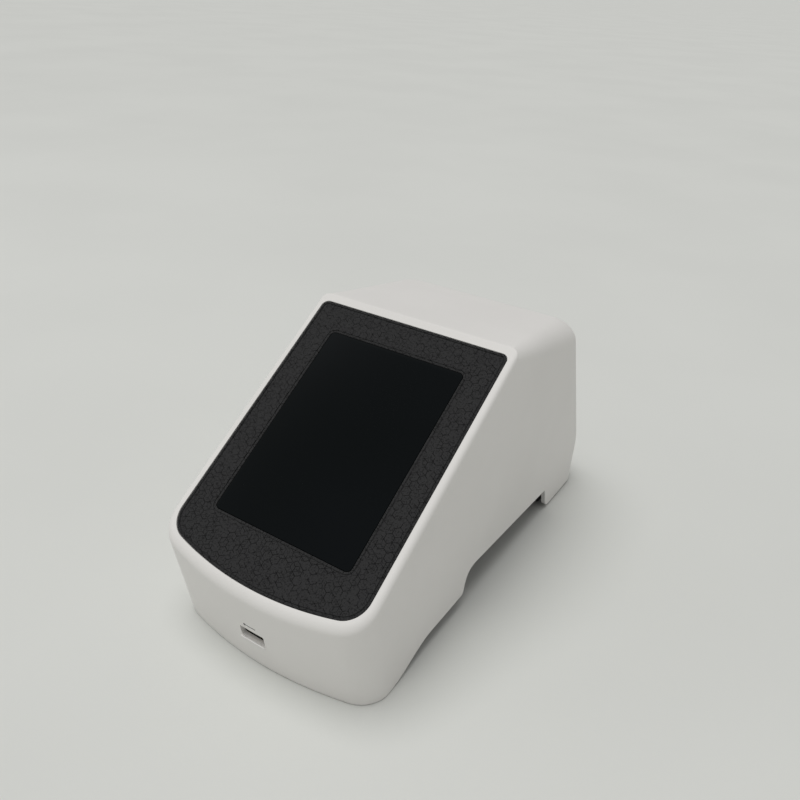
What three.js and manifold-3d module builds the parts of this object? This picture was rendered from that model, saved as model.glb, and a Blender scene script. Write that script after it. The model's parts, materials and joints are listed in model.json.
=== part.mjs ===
// Benchtop electrophoresis power supply. A one-piece wedge cover stands over a base tray, with a
// portrait touch display on the sloping face, a USB port in the bowed front and a rear panel that
// carries the output sockets, the mains inlet, the switch and the fan.
// Millimetres, +Z up, +X to the right seen from the front, +Y to the rear. The origin is on the
// bench, under the middle of the case.
import * as THREE from 'three';
import { mergeVertices } from 'three/addons/utils/BufferGeometryUtils.js';
import Module from 'manifold-3d';

const wasm = await Module();
wasm.setup();

// Case
const caseLength = 290;
const lipWidth = 4.8;
const wall = 2.8;
const frontHeight = 56;
const frontUndercut = THREE.MathUtils.degToRad(11.5);
const frontBow = 215;
const frontCorner = 17.5;
const rearCorner = 17;
const rearSkirt = 36;
const rearSkirtLean = THREE.MathUtils.degToRad(3);
const rearLean = THREE.MathUtils.degToRad(23.4);
const rearBlend = 8;
const roofRise = 3.2;
const roofTilt = THREE.MathUtils.degToRad(8.5);
const roofFillet = 15;
const faceFillet = 3;
const toeGap = 0.6;
const heelGap = 2;

// Sloping face, measured from the top edge of the bezel downwards
const faceAngle = THREE.MathUtils.degToRad(33.1);
const bezelWidth = 123.4;
const bezelLength = 167.9;
const bezelBow = 202;
const bezelBottomCorner = 14.5;
const bezelTopCorner = 4;
const bezelThickness = 1;
const frontLip = 5.7;

// Display
const screenWidth = 88;
const screenLength = 120.9;
const screenTop = 18.9;
const glassThickness = 1.8;
const lcdMargin = 5;
const lcdThickness = 5;
const gasketThickness = 1;
const gasketLap = 2;
const screenCorner = 1.5;
const windowCorner = 2;
const boardCorner = 2;

// Clearances
const fitGap = 0.3;
const looseGap = 1;

// How far cutting tools run past what they cut
const cutBelow = 10;
const cutAbove = 5;

// Underside, measured from the front or from the rear of the case
const toeLength = 34;
const gripRise = 41;
const gripEdge = 11;
const gripFront = 112;
const archHeight = 26.5;
const archDrop = 7;
const heelLength = 64;

// Base tray
const trayFloor = 4;
const trayWall = 2;
const trayRim = 18;
const trayGap = 5.5;
const trayWaist = 10;
const gripOverlap = { front: 4, rear: 6 };
const footRadius = 8;
const footInset = 15;

const caseWidth = bezelWidth + 2 * lipWidth;
const halfWidth = caseWidth / 2;
const frontY = -caseLength / 2;
const rearY = caseLength / 2;
const faceRun = (bezelLength + frontLip) * Math.cos(faceAngle);
const faceTopY = frontY + faceRun;
const faceTopZ = frontHeight + (bezelLength + frontLip) * Math.sin(faceAngle);
const roofZ = faceTopZ + roofRise;
const rearShare = (rearY - (roofZ - rearSkirt) * Math.tan(rearLean) - faceTopY) / (rearY - faceTopY);

// Rear panel, measured from its opening's edges: the fan stands under the socket rows, the inlet
// beside the fan and the switch beside the sockets. The opening is centred on the leaning wall.
const rearPanelRise = 51;
const rearOpeningCorner = 5;
const rearOpeningCut = 6;
const panelCorner = 4;
const panelThickness = 1.5;
const panelFlange = 4;
const panelFace = -wall - looseGap;
const fanSize = 40;
const fanDepth = 10;
const fanMargin = 7;
const fanFloor = 6;
const socketHole = 6.2;
const socketFlange = socketHole + 1.3;
const socketPitch = 19;
const socketMargin = 2.5;
const socketCount = 3;
const socketRoof = 7.5;
const inletWidth = 27;
const inletHeight = 31;
const inletLip = 2;
const inletFloor = 6.5;
const inletFanGap = 10.5;
const inletMargin = 7.5;
const switchWidth = 19;
const switchHeight = 26;
const switchLip = 1.5;
const switchMargin = 1;
const screwInset = 4.5;

const inletOutside = inletWidth + 2 * inletLip;
const rearPanelWidth = fanMargin + fanSize + inletFanGap + inletOutside + inletMargin;
const blackRowRise = fanFloor + fanSize + socketMargin + socketFlange;
const rearPanelHeight = blackRowRise + socketPitch + socketFlange + socketRoof;
const fanPlace = [
  fanMargin + (fanSize - rearPanelWidth) / 2,
  fanFloor + (fanSize - rearPanelHeight) / 2,
];
const inletPlace = [
  (rearPanelWidth - inletOutside) / 2 - inletMargin,
  inletFloor + inletLip + (inletHeight - rearPanelHeight) / 2,
];
const socketRows = {
  red: blackRowRise + socketPitch - rearPanelHeight / 2,
  black: blackRowRise - rearPanelHeight / 2,
};
const firstColumn = socketMargin + socketFlange - rearPanelWidth / 2;
const socketColumns = Array.from({ length: socketCount }, (_, i) => firstColumn + i * socketPitch);
const switchPlace = [
  (rearPanelWidth - switchWidth) / 2 - switchLip - switchMargin,
  (socketRows.red + socketRows.black) / 2,
];

// --- Solids and booleans -------------------------------------------------------------------

function solid(geometry) {
  const bare = geometry.clone();
  bare.deleteAttribute('normal');
  bare.deleteAttribute('uv');
  const merged = mergeVertices(bare, 1e-4);
  return new wasm.Manifold(new wasm.Mesh({
    numProp: 3,
    vertProperties: new Float32Array(merged.attributes.position.array),
    triVerts: new Uint32Array(merged.index.array),
  }));
}

function geometryOf(body) {
  const mesh = body.getMesh();
  const geometry = new THREE.BufferGeometry();
  geometry.setAttribute('position', new THREE.BufferAttribute(new Float32Array(mesh.vertProperties), 3));
  geometry.setIndex(new THREE.BufferAttribute(new Uint32Array(mesh.triVerts), 1));
  return geometry;
}

function cut(base, ...tools) {
  return tools.reduce((body, tool) => body.subtract(solid(tool)), base);
}

function join(base, ...others) {
  return others.reduce((body, other) => body.add(solid(other)), base);
}

// --- Shapes --------------------------------------------------------------------------------

function material(color, roughness, metalness = 0) {
  return new THREE.MeshStandardMaterial({ color, roughness, metalness });
}

const finish = {
  shell: material(0xe9e8e4, 0.5),
  bezel: material(0x35363a, 0.55),
  glass: material(0x0b0e10, 0.08),
  tray: material(0x1c1c1e, 0.7),
  rubber: material(0x202020, 0.9),
  panel: material(0xc9cacb, 0.5, 0.2),
  steel: material(0xb4b6b8, 0.35, 1),
  brass: material(0xc9a95a, 0.3, 1),
  board: material(0x1f5c3a, 0.6),
  blackPlastic: material(0x17171a, 0.55),
  redPlastic: material(0xb3191e, 0.5),
  whitePlastic: material(0xdddcd6, 0.6),
  foam: material(0x2a2a2c, 0.95),
  winding: material(0xc99c2e, 0.6),
  ferrite: material(0x3b3d40, 0.7),
  can: material(0x2b3f66, 0.4),
  aluminium: material(0xa9acae, 0.4, 1),
};

function box(width, depth, height, x = 0, y = 0, z = 0) {
  return new THREE.BoxGeometry(width, depth, height).translate(x, y, z + height / 2);
}

function roundedOutline(width, height, radius, steps = 5) {
  const shape = new THREE.Shape();
  const x = width / 2 - radius;
  const y = height / 2 - radius;
  const centres = [[x, -y], [x, y], [-x, y], [-x, -y]];
  centres.forEach(([cx, cy], corner) => {
    for (let i = 0; i <= steps; i += 1) {
      const turn = ((corner - 1) + i / steps) * Math.PI / 2;
      const px = cx + radius * Math.cos(turn);
      const py = cy + radius * Math.sin(turn);
      if (corner === 0 && i === 0) shape.moveTo(px, py);
      else shape.lineTo(px, py);
    }
  });
  return shape;
}

function plate(shape, bottom, top) {
  const geometry = new THREE.ExtrudeGeometry(shape, { depth: top - bottom, bevelEnabled: false });
  return geometry.translate(0, 0, bottom);
}

function roundedPlate(width, height, radius, bottom, top, x = 0, y = 0) {
  return plate(roundedOutline(width, height, radius), bottom, top).translate(x, y, 0);
}

// A cylinder along Z from bottom to top.
function rod(radius, bottom, top, x = 0, y = 0, segments = 24) {
  const geometry = new THREE.CylinderGeometry(radius, radius, top - bottom, segments);
  return geometry.rotateX(Math.PI / 2).translate(x, y, (bottom + top) / 2);
}

// A turned piece about Z from [radius, height] pairs that start and end on the axis.
function turned(profile, segments = 24) {
  const points = profile.map(([radius, height]) => new THREE.Vector2(radius, height));
  return new THREE.LatheGeometry(points, segments).rotateX(Math.PI / 2);
}

// An outline with a bowed front, two front corner arcs that run into the bow, straight sides and
// two rear corner arcs. It runs anticlockwise seen from above.
function bowedOutline({ front, rear, half, bow, frontRadius, rearRadius, bowSteps = 9, cornerSteps = 7 }) {
  const cornerX = half - frontRadius;
  const bowCentre = front + bow;
  const cornerY = bowCentre - Math.sqrt((bow - frontRadius) ** 2 - cornerX ** 2);
  const handover = Math.asin(cornerX / (bow - frontRadius));
  const right = [];
  for (let i = 0; i < bowSteps; i += 1) {
    const turn = handover * i / bowSteps;
    right.push([bow * Math.sin(turn), bowCentre - bow * Math.cos(turn)]);
  }
  for (let i = 0; i <= cornerSteps; i += 1) {
    const turn = handover + (Math.PI / 2 - handover) * i / cornerSteps;
    right.push([cornerX + frontRadius * Math.sin(turn), cornerY - frontRadius * Math.cos(turn)]);
  }
  for (let i = 0; i <= cornerSteps; i += 1) {
    const turn = Math.PI / 2 * i / cornerSteps;
    right.push([
      half - rearRadius + rearRadius * Math.cos(turn),
      rear - rearRadius + rearRadius * Math.sin(turn),
    ]);
  }
  const left = right.slice(1).reverse().map(([x, y]) => [-x, y]);
  return [...right, ...left].map(([x, y]) => new THREE.Vector2(x, y));
}

// A closed solid through rings of equal length, each anticlockwise, from the lowest to the highest.
function loft(rings) {
  const count = rings[0].length;
  const positions = rings.flat().flatMap((point) => [point.x, point.y, point.z]);
  const index = [];
  for (let level = 0; level < rings.length - 1; level += 1) {
    for (let i = 0; i < count; i += 1) {
      const a = level * count + i;
      const b = level * count + (i + 1) % count;
      index.push(a, b, b + count, a, b + count, a + count);
    }
  }
  const flat = (ring) => ring.map((point) => new THREE.Vector2(point.x, point.y));
  const last = (rings.length - 1) * count;
  for (const [a, b, c] of THREE.ShapeUtils.triangulateShape(flat(rings[0]), [])) index.push(a, c, b);
  for (const [a, b, c] of THREE.ShapeUtils.triangulateShape(flat(rings.at(-1)), [])) {
    index.push(last + a, last + b, last + c);
  }
  const geometry = new THREE.BufferGeometry();
  geometry.setAttribute('position', new THREE.Float32BufferAttribute(positions, 3));
  geometry.setIndex(index);
  return geometry;
}

// A prism across the case from an outline of [y, z] points.
function acrossCase(points, width, bevel = 0) {
  const shape = new THREE.Shape(points.map(([y, z]) => new THREE.Vector2(y, z)));
  const geometry = new THREE.ExtrudeGeometry(shape, {
    depth: width - 2 * bevel,
    bevelEnabled: bevel > 0,
    bevelThickness: bevel,
    bevelSize: bevel,
    bevelOffset: -bevel,
    bevelSegments: 4,
  });
  geometry.translate(0, 0, -(width - 2 * bevel) / 2);
  const turn = new THREE.Matrix4().makeBasis(
    new THREE.Vector3(0, 1, 0),
    new THREE.Vector3(0, 0, 1),
    new THREE.Vector3(1, 0, 0),
  );
  return geometry.applyMatrix4(turn);
}

// --- Front and rear walls -------------------------------------------------------------------

function frontAt(height, inset) {
  return frontY + inset + Math.max(0, frontHeight - height) * Math.tan(frontUndercut);
}

// The rear wall: a steep skirt below, the leaning wall above, and a smooth bend between them.
// The bend's crown is the rearmost part of the case.
function rearBend(height) {
  const below = Math.tan(rearSkirtLean);
  const above = -Math.tan(rearLean);
  const rise = height - rearSkirt;
  if (rise < -rearBlend) return below * rise;
  if (rise > rearBlend) return above * rise;
  const along = (rise + rearBlend) / (2 * rearBlend);
  return below * rise + (above - below) * rearBlend * along ** 2;
}

const bendHeights = [-1, -0.5, 0, 0.5, 1].map((share) => rearSkirt + share * rearBlend);
const rearWallY = rearY - Math.max(...bendHeights.map(rearBend));

function rearAt(height, inset) {
  return rearWallY - inset + rearBend(height);
}

// --- Frames and nodes ----------------------------------------------------------------------

const assembly = new THREE.Group();

// Face frame: x across, y up the slope from the bezel's top edge, z out of the face.
const faceFrame = new THREE.Group();
faceFrame.position.set(0, faceTopY, faceTopZ);
faceFrame.rotation.x = faceAngle;

// Rear frame: x to the right seen from behind, y up the leaning wall, z out of it.
const rearFrame = new THREE.Group();
rearFrame.matrixAutoUpdate = false;
rearFrame.matrix.makeBasis(
  new THREE.Vector3(-1, 0, 0),
  new THREE.Vector3(0, -Math.sin(rearLean), Math.cos(rearLean)),
  new THREE.Vector3(0, Math.cos(rearLean), Math.sin(rearLean)),
);
rearFrame.matrix.setPosition(
  0,
  rearWallY - rearPanelRise * Math.tan(rearLean),
  rearSkirt + rearPanelRise,
);
assembly.add(faceFrame, rearFrame);
assembly.updateMatrixWorld(true);

function add(name, shape, look, parent = assembly) {
  const geometry = shape.isBufferGeometry ? shape : geometryOf(shape);
  const mesh = new THREE.Mesh(geometry, look);
  mesh.name = name;
  parent.add(mesh);
  return mesh;
}

function inFrame(geometry, frame) {
  return geometry.clone().applyMatrix4(frame.matrixWorld);
}

// --- Case cover ----------------------------------------------------------------------------

function casePlan(height, inset, shrink = 0) {
  return bowedOutline({
    front: frontAt(height, inset + shrink),
    rear: rearAt(height, inset + shrink),
    half: halfWidth - inset - shrink,
    bow: frontBow - inset - shrink,
    frontRadius: frontCorner - inset - shrink,
    rearRadius: rearCorner - inset - shrink,
  });
}

function caseRing(height, inset) {
  return casePlan(height, inset).map((point) => new THREE.Vector3(point.x, point.y, height));
}

// The roof's edge: a fillet that is as small as the face's at the front and grows to the rear,
// under a roof that falls to the rear. The rear wall keeps its lean as it comes down to meet it.
function roofRing(turn, inset) {
  const top = roofZ - inset;
  const roofLength = rearY - faceTopY;
  return casePlan(top, inset).map((edge, i) => {
    const along = THREE.MathUtils.clamp((edge.y - faceTopY) / roofLength, 0, 1);
    const fillet = THREE.MathUtils.lerp(faceFillet, roofFillet, Math.sqrt(along)) - inset;
    const height = top - fillet * (1 - Math.sin(turn));
    const point = casePlan(height, inset, fillet * (1 - Math.cos(turn)))[i];
    const drop = (point.y - faceTopY) * Math.tan(roofTilt);
    const leanBack = edge.y > faceTopY ? drop * Math.tan(rearLean) * along / rearShare : 0;
    return new THREE.Vector3(point.x, point.y + leanBack, height - drop);
  });
}

function caseTower(inset, bottom) {
  const rings = [bottom, ...bendHeights, frontHeight].map((height) => caseRing(height, inset));
  const filletSteps = 6;
  for (let i = 0; i <= filletSteps; i += 1) {
    rings.push(roofRing(Math.PI / 2 * i / filletSteps, inset));
  }
  return loft(rings);
}

// Everything below the plane of the sloping face.
function belowFace(inset) {
  const reach = 400;
  const slope = Math.tan(faceAngle);
  const drop = inset / Math.cos(faceAngle);
  const height = (y) => faceTopZ - drop + (y - faceTopY) * slope;
  const outline = [
    [frontY - reach, height(frontY - reach)],
    [frontY - reach, height(frontY - reach) - reach],
    [rearY + reach, height(frontY - reach) - reach],
    [rearY + reach, height(rearY + reach)],
  ];
  return acrossCase(outline, caseWidth - 2 * inset, faceFillet);
}

// The lower edge of the cover: a toe that curves up, a low edge, a step up into the hand grip,
// the grip's long arch and a heel at the rear.
const reachPast = 20;
const edgeCurve = { toe: 16, rise: 14, turn: 3, stepSlope: 4, stepRun: 12, heelRise: 6, heelRun: 12 };

function undersideOutline() {
  const low = -20;
  const path = new THREE.Path();
  const toeEnd = frontY + toeLength;
  const edgeStart = toeEnd + gripRise;
  const stepY = frontY + gripFront;
  const heelY = rearY - heelLength;
  path.moveTo(toeEnd, low);
  path.lineTo(toeEnd, toeGap);
  path.bezierCurveTo(
    toeEnd + edgeCurve.toe, toeGap, edgeStart - edgeCurve.rise, gripEdge, edgeStart, gripEdge,
  );
  path.lineTo(stepY - edgeCurve.turn, gripEdge);
  path.quadraticCurveTo(stepY, gripEdge, stepY, gripEdge + edgeCurve.turn);
  path.bezierCurveTo(
    stepY + 1, archHeight - edgeCurve.stepSlope, stepY + edgeCurve.stepSlope, archHeight,
    stepY + edgeCurve.stepRun, archHeight,
  );
  path.lineTo(heelY, archHeight - archDrop);
  path.lineTo(heelY + edgeCurve.stepSlope, heelGap + edgeCurve.heelRise);
  path.quadraticCurveTo(
    heelY + edgeCurve.heelRise, heelGap, heelY + edgeCurve.heelRun, heelGap,
  );
  path.lineTo(rearY + reachPast, heelGap);
  path.lineTo(rearY + reachPast, low);
  return path.getPoints(6).map((point) => [point.x, point.y]);
}

function bezelOutline(grow = 0) {
  return bowedOutline({
    front: -bezelLength - grow,
    rear: grow,
    half: bezelWidth / 2 + grow,
    bow: bezelBow + grow,
    frontRadius: bezelBottomCorner + grow,
    rearRadius: bezelTopCorner + grow,
    cornerSteps: 6,
  });
}

const screenMiddle = -screenTop - screenLength / 2;
const pocketDepth = bezelThickness + 2 * fitGap;

// USB port
const usbHeight = 25;
const usbApertureWidth = 16;
const usbApertureHeight = 7.6;
const usbApertureCorner = 1;
const usbShellWidth = 13.1;
const usbShellHeight = 5.7;
const usbShellDepth = 14;
const usbRecess = 1.2;
const usbBlock = { inset: 1.1, height: 1.8, corner: 0.2, back: 1.3, front: 1, rise: 1.2 };
const usbBoard = { width: 26, length: 18, back: 22 };

// Screw posts under the cover
const postRadius = 3.6;
const postHole = 1.4;
const postFloor = trayFloor + trayWall + fitGap;
const frontPostInset = { x: 12.5, y: 36 };
const rearPostInset = { x: 14.5, y: 17 };
const frontPost = { x: halfWidth - frontPostInset.x, y: frontY + frontPostInset.y };
const rearPost = { x: halfWidth - rearPostInset.x, y: rearY - rearPostInset.y };
const postHeadroom = 2;
const postTop = rearSkirt - postHeadroom;
const postDepth = 14;
const ribThickness = 2;
const ribBottom = trayRim + fitGap;

function postPlaces() {
  return [-1, 1].flatMap((side) => [
    { x: side * frontPost.x, y: frontPost.y, end: side < 0 ? 'front_left' : 'front_right' },
    { x: side * rearPost.x, y: rearPost.y, end: side < 0 ? 'rear_left' : 'rear_right' },
  ]);
}

function upperShell() {
  const outer = solid(caseTower(0, toeGap)).intersect(solid(belowFace(0)));
  const inner = solid(caseTower(wall, -10)).intersect(solid(belowFace(wall)));
  let shell = outer.subtract(inner);
  for (const place of postPlaces()) {
    const post = solid(rod(postRadius, postFloor, postTop, place.x, place.y, 16));
    shell = shell.add(post.intersect(outer));
    const ribReach = halfWidth - wall / 2 - Math.abs(place.x);
    const ribX = Math.sign(place.x) * (Math.abs(place.x) + ribReach / 2);
    shell = join(shell, box(ribReach, ribThickness, postTop - ribBottom, ribX, place.y, ribBottom));
    shell = cut(shell, rod(postHole, postFloor - 1, postFloor + postDepth, place.x, place.y, 10));
  }
  const pocket = plate(new THREE.Shape(bezelOutline(fitGap)), -pocketDepth, cutAbove);
  const window = roundedPlate(
    screenWidth + 2 * looseGap, screenLength + 2 * looseGap, windowCorner, -cutBelow, cutAbove,
    0, screenMiddle,
  );
  const rearOpening = roundedPlate(
    rearPanelWidth, rearPanelHeight, rearOpeningCorner, -rearOpeningCut, rearOpeningCut,
  );
  const usbOpening = roundedPlate(
    usbApertureWidth, usbApertureHeight, usbApertureCorner, -usbShellDepth, usbShellDepth,
  );
  usbOpening.rotateX(Math.PI / 2).translate(0, frontAt(usbHeight, 0), usbHeight);
  return cut(
    shell,
    acrossCase(undersideOutline(), caseWidth + reachPast),
    inFrame(pocket, faceFrame),
    inFrame(window, faceFrame),
    inFrame(rearOpening, rearFrame),
    usbOpening,
  );
}

add('upper_shell', upperShell(), finish.shell);

// --- Face ----------------------------------------------------------------------------------

function bezelOverlay() {
  const overlay = new THREE.Shape(bezelOutline());
  const hole = roundedOutline(screenWidth + 2 * fitGap, screenLength + 2 * fitGap, screenCorner + fitGap);
  overlay.holes.push(new THREE.Path(hole.getPoints().map((p) => p.add({ x: 0, y: screenMiddle }))));
  return plate(overlay, -bezelThickness - fitGap, -fitGap);
}

const glassSink = 0.1;
const glassTop = -fitGap - glassSink;
const gasketTop = -wall - fitGap;
const lcdTop = gasketTop - gasketThickness - fitGap;
const lcdBottom = lcdTop - lcdThickness;
const lcdWidth = screenWidth + 2 * lcdMargin;
const lcdLength = screenLength + 2 * lcdMargin;

add('bezel_overlay', bezelOverlay(), finish.bezel, faceFrame);
add(
  'touch_glass',
  roundedPlate(
    screenWidth, screenLength, screenCorner, glassTop - glassThickness, glassTop, 0, screenMiddle,
  ),
  finish.glass,
  faceFrame,
);

// A foam ring behind the cover's window, with an inner lip that reaches up to the glass.
function displayGasket() {
  const bottom = gasketTop - gasketThickness;
  const lipTop = glassTop - glassThickness - fitGap;
  const ring = solid(roundedPlate(lcdWidth, lcdLength, windowCorner, bottom, gasketTop));
  const lip = roundedPlate(screenWidth, screenLength, screenCorner, bottom, lipTop);
  const holeWidth = screenWidth - 2 * gasketLap;
  const holeLength = screenLength - 2 * gasketLap;
  return cut(join(ring, lip), roundedPlate(holeWidth, holeLength, 1, bottom - cutAbove, lipTop + cutAbove));
}

add('display_gasket', displayGasket(), finish.foam, faceFrame).position.y = screenMiddle;
add(
  'lcd_module',
  roundedPlate(lcdWidth, lcdLength, 1, lcdBottom, lcdTop),
  finish.aluminium,
  faceFrame,
).position.y = screenMiddle;

// A pressed plate behind the display, with a large opening and two turned-back flanges.
const bracketThickness = 1;
const bracketTop = lcdBottom - fitGap;
const bracketInset = 3;
const bracketCorner = 3;
const bracketFlange = { height: 5, setBack: 15 };

// Control board on four pillars behind the bracket
const controlWidth = 84;
const controlLength = 108;
const boardThickness = 1.6;
const pillarHeight = 6;
const pillarRadius = 2.5;
const pillarInset = 4;
const pillarSeat = 6;
const pillarX = controlWidth / 2 - pillarInset;
const pillarY = controlLength / 2 - pillarInset;
const controlTop = bracketTop - bracketThickness - pillarHeight - 2 * fitGap;
const controlBottom = controlTop - boardThickness;

function displayBracket() {
  const bottom = bracketTop - bracketThickness;
  const length = lcdLength - 2 * bracketInset;
  const sheet = solid(roundedPlate(lcdWidth, length, bracketCorner, bottom, bracketTop));
  const opening = roundedPlate(
    2 * (pillarX - pillarSeat), 2 * (pillarY - pillarSeat), pillarSeat,
    bottom - cutAbove, bracketTop + cutAbove,
  );
  const { height, setBack } = bracketFlange;
  const flangeX = (lcdWidth - bracketThickness) / 2;
  const flangeZ = bottom - height + bracketThickness / 2;
  const flanges = [-1, 1].map((side) => (
    box(bracketThickness, lcdLength - 2 * setBack, height, side * flangeX, 0, flangeZ)
  ));
  return cut(join(sheet, ...flanges), opening);
}

add('display_bracket', displayBracket(), finish.steel, faceFrame).position.y = screenMiddle;

add(
  'control_board',
  roundedPlate(controlWidth, controlLength, boardCorner, controlBottom, controlTop),
  finish.board,
  faceFrame,
).position.y = screenMiddle;

for (const [row, sideY] of [['upper', 1], ['lower', -1]]) {
  for (const [side, sideX] of [['left', -1], ['right', 1]]) {
    const top = bracketTop - bracketThickness - fitGap;
    const pillar = rod(pillarRadius, top - pillarHeight, top, 0, 0, 6);
    const mesh = add(`control_pillar_${row}_${side}`, pillar, finish.brass, faceFrame);
    mesh.position.set(sideX * pillarX, screenMiddle + sideY * pillarY, 0);
  }
}

const shield = { width: 34, length: 28, height: 3.5, x: -12, y: 18 };
const buzzer = { radius: 6, height: 6, x: 26, y: -30 };
const underBoard = controlBottom - fitGap;

add(
  'processor_shield',
  roundedPlate(shield.width, shield.length, 1, underBoard - shield.height, underBoard),
  finish.steel,
  faceFrame,
).position.set(shield.x, screenMiddle + shield.y, 0);
add(
  'buzzer',
  rod(buzzer.radius, underBoard - buzzer.height, underBoard, 0, 0, 20),
  finish.blackPlastic,
  faceFrame,
).position.set(buzzer.x, screenMiddle + buzzer.y, 0);

// A flat cable from the display's lower edge, back under the control board
const ribbon = { width: 20, thickness: 0.4, turn: 4, overlap: 26, below: 1.2 };

function displayRibbon() {
  const { width, thickness, turn, overlap, below } = ribbon;
  const edge = screenMiddle - lcdLength / 2 - fitGap;
  const start = (lcdTop + lcdBottom) / 2;
  const end = controlBottom - below;
  const route = new THREE.Path();
  route.moveTo(edge, start);
  route.quadraticCurveTo(edge - turn, start, edge - turn, start - turn);
  route.lineTo(edge - turn, end + turn);
  route.quadraticCurveTo(edge - turn, end, edge, end);
  route.lineTo(edge + overlap, end);
  const middle = route.getPoints(5);
  const side = (distance) => middle.map((point, i) => {
    const before = middle[Math.max(0, i - 1)];
    const after = middle[Math.min(middle.length - 1, i + 1)];
    const along = after.clone().sub(before).normalize();
    return [point.x - along.y * distance, point.y + along.x * distance];
  });
  const outline = [...side(thickness / 2), ...side(-thickness / 2).reverse()];
  return acrossCase(outline, width);
}

add('display_ribbon', displayRibbon(), finish.whitePlastic, faceFrame);

// --- Front USB port ------------------------------------------------------------------------

const usbFrontY = frontAt(usbHeight, 0) + usbRecess;
const usbWallThickness = 0.4;

// Local x across, y up, z out of the front.
const usbFrame = new THREE.Group();
usbFrame.rotation.x = Math.PI / 2;
usbFrame.position.set(0, usbFrontY, usbHeight);
assembly.add(usbFrame);

function usbReceptacle() {
  const can = solid(roundedPlate(usbShellWidth, usbShellHeight, 0.6, -usbShellDepth, 0));
  const hollowWidth = usbShellWidth - 2 * usbWallThickness;
  const hollowHeight = usbShellHeight - 2 * usbWallThickness;
  return cut(can, roundedPlate(hollowWidth, hollowHeight, 0.3, -usbShellDepth + 1, cutAbove));
}

add('usb_receptacle', usbReceptacle(), finish.steel, usbFrame);
add(
  'usb_contact_block',
  roundedPlate(
    usbShellWidth - 2 * usbBlock.inset, usbBlock.height, usbBlock.corner,
    -usbShellDepth + usbBlock.back, -usbBlock.front, 0, usbBlock.rise,
  ),
  finish.whitePlastic,
  usbFrame,
);
add(
  'usb_board',
  box(
    usbBoard.width, boardThickness, usbBoard.length,
    0, -usbShellHeight / 2 - fitGap - boardThickness / 2, -usbBoard.back,
  ),
  finish.board,
  usbFrame,
);

// --- Base tray, feet and screws ------------------------------------------------------------

// The tray's plan follows the cover with an even gap and is cut in at each side for the hand grip.
function trayBody(inset, bottom, top) {
  const plan = caseRing(0, trayGap + inset).map((point) => new THREE.Vector2(point.x, point.y));
  const gripStart = frontY + gripFront - gripOverlap.front - inset;
  const gripEnd = rearY - heelLength + gripOverlap.rear + inset;
  const depth = trayWaist + inset;
  const edge = halfWidth - trayGap;
  const notches = [-1, 1].map((side) => box(
    2 * depth, gripEnd - gripStart, 2 * trayRim, side * edge, (gripStart + gripEnd) / 2, -trayRim / 2,
  ));
  return cut(solid(plate(new THREE.Shape(plan), bottom, top)), ...notches);
}

const traySlot = { length: 60, width: 2.6, corner: 1.2, pitch: 7, y: 20, count: 7 };

function baseTray() {
  let tray = trayBody(0, trayFloor, trayRim).subtract(
    trayBody(trayWall, trayFloor + trayWall, trayRim + cutBelow),
  );
  for (let i = 0; i < traySlot.count; i += 1) {
    const y = traySlot.y + (i - (traySlot.count - 1) / 2) * traySlot.pitch;
    const slot = roundedPlate(traySlot.length, traySlot.width, traySlot.corner, 0, trayRim, 0, y);
    tray = cut(tray, slot);
  }
  for (const place of postPlaces()) {
    tray = cut(tray, rod(screwShank + looseGap / 2, 0, trayRim, place.x, place.y, 16));
  }
  return tray;
}

const threadBite = 0.1;
const screwShank = postHole - threadBite;
const screwHeadRadius = 3;
const screwHeadHeight = 2;
const crossSlot = { width: 0.7, length: 3.2, depth: 1.2, past: 0.2 };
const baseScrewLength = 12;
const panelScrewLength = 6;

// A pan-head screw pointing up: its head is below z = 0 and its shank above.
function panScrew(shankLength) {
  const head = solid(turned([
    [0, -screwHeadHeight],
    [screwHeadRadius * 0.7, -screwHeadHeight],
    [screwHeadRadius, -screwHeadHeight * 0.5],
    [screwHeadRadius, 0],
    [screwShank, 0],
    [screwShank, shankLength],
    [0, shankLength],
  ], 10));
  return cut(
    head,
    box(crossSlot.width, crossSlot.length, crossSlot.depth, 0, 0, -screwHeadHeight - crossSlot.past),
    box(crossSlot.length, crossSlot.width, crossSlot.depth, 0, 0, -screwHeadHeight - crossSlot.past),
  );
}

add('base_tray', baseTray(), finish.tray);

for (const place of postPlaces()) {
  const screw = add(`base_screw_${place.end}`, panScrew(baseScrewLength), finish.steel);
  screw.position.set(place.x, place.y, trayFloor - fitGap);
}

const footHeight = trayFloor - fitGap;
const footSetBack = { front: 50, rear: 32 };
const footEdge = 1;
const footY = { front: frontY + footSetBack.front, rear: rearY - footSetBack.rear };
for (const end of ['front', 'rear']) {
  for (const [side, sign] of [['left', -1], ['right', 1]]) {
    const profile = [
      [0, 0], [footRadius - footEdge, 0], [footRadius, footEdge], [footRadius, footHeight],
      [0, footHeight],
    ];
    const foot = add(`rubber_foot_${end}_${side}`, turned(profile), finish.rubber);
    foot.position.set(sign * (halfWidth - trayGap - footInset), footY[end], 0);
  }
}

// --- Power board and what stands on it -----------------------------------------------------

const powerBoardWidth = 88;
const powerBoardLength = 122;
const powerBoardRise = 6;
const powerBoardHole = 1.6;
const powerBoardZ = trayFloor + trayWall + powerBoardRise;
const powerBoardSetBack = 48;
const powerBoardY = rearY - powerBoardSetBack - powerBoardLength / 2;
const spacerRadius = 3;
const spacerInset = 4;
const spacerX = powerBoardWidth / 2 - spacerInset;
const spacerY = powerBoardLength / 2 - spacerInset;
const deckZ = powerBoardZ + boardThickness + fitGap;

function powerBoard() {
  const board = solid(roundedPlate(powerBoardWidth, powerBoardLength, boardCorner, 0, boardThickness));
  const holes = [-1, 1].flatMap((x) => [-1, 1].map((y) => (
    rod(powerBoardHole, -cutAbove, cutAbove, x * spacerX, y * spacerY, 12)
  )));
  return cut(board, ...holes);
}

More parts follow.
